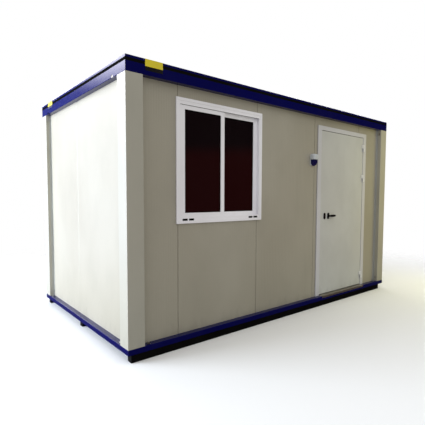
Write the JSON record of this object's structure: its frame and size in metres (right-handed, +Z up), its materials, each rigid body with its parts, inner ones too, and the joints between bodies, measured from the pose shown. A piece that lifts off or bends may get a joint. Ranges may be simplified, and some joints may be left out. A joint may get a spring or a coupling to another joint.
{
  "type": "portable site cabin",
  "caption": "Steel-framed portable site cabin on skids, with cream panel walls, a sliding window, an outward-opening door and a navy roof ring and base.",
  "frame": {"origin": "middle of the footprint, at the underside of the skids", "axes": "+X along the cabin, to the door end seen from the front; -Y faces the side with the door and window; +Z up"},
  "size_m": [4.192, 2.362, 2.5],
  "materials": {
    "skid_steel": "matt black paint",
    "navy_steel": "satin navy paint",
    "post_steel": "satin cream paint",
    "wall_panel": "satin coated steel with fine upright ribs",
    "ceiling_panel": "satin white coated steel",
    "roof_steel": "dull galvanised steel",
    "floor_vinyl": "mottled vinyl on board",
    "window_aluminium": "gloss white coated aluminium",
    "window_glass": "dark-tinted clear glass",
    "door_trim": "satin white paint",
    "door_skin": "satin off-white paint",
    "threshold_plate": "brushed, with grip ribs",
    "handle_black": "satin black",
    "inlet_white": "satin white",
    "inlet_blue": "satin blue",
    "label_yellow": "satin printed film, plain"
  },
  "bodies": {
    "cabin": {"front_skid": "skid_steel", "middle_skid": "skid_steel", "rear_skid": "skid_steel", "base_rail_front": "navy_steel", "base_rail_rear": "navy_steel", "base_rail_left": "navy_steel", "base_rail_right": "navy_steel", "floor_joists": "navy_steel", "floor_board": "floor_vinyl", "post_front_left": "post_steel", "post_front_right": "post_steel", "post_rear_left": "post_steel", "post_rear_right": "post_steel", "front_wall_left": "wall_panel", "front_wall_below_window": "wall_panel", "front_wall_above_window": "wall_panel", "front_wall_middle": "wall_panel", "front_wall_above_door": "wall_panel", "front_wall_right": "wall_panel", "rear_wall": "wall_panel", "left_wall": "wall_panel", "right_wall": "wall_panel", "roof_beam_front": "navy_steel", "roof_beam_rear": "navy_steel", "roof_beam_left": "navy_steel", "roof_beam_right": "navy_steel", "ceiling": "ceiling_panel", "roof_sheet": "roof_steel", "window_frame": "window_aluminium", "window_sash_left": "window_aluminium", "window_sash_right": "window_aluminium", "window_glass_left": "window_glass", "window_glass_right": "window_glass", "door_frame": "door_trim", "threshold": "threshold_plate", "door_hinge_frame_side": "door_trim", "inlet_housing": "inlet_white", "inlet_lid": "inlet_blue", "side_labels": "label_yellow"},
    "door": {"door_leaf": "door_skin", "door_hinge_leaf_side": "door_trim", "door_furniture": "handle_black"},
    "lever": {"door_lever": "handle_black"}
  },
  "joints": [
    {"name": "door_hinge", "type": "hinge", "parent": "cabin", "child": "door", "pos_m": [1.5445, -1.138, 1.173], "axis": [0, 0, 1], "range_deg": [0, 110]},
    {"name": "lever_turn", "type": "hinge", "parent": "door", "child": "lever", "pos_m": [0.732, -1.123, 1.14], "axis": [0, 1, 0], "range_deg": [0, 45], "stiffness_Nm_per_rad": 2, "springref_deg": -17.19}
  ]
}
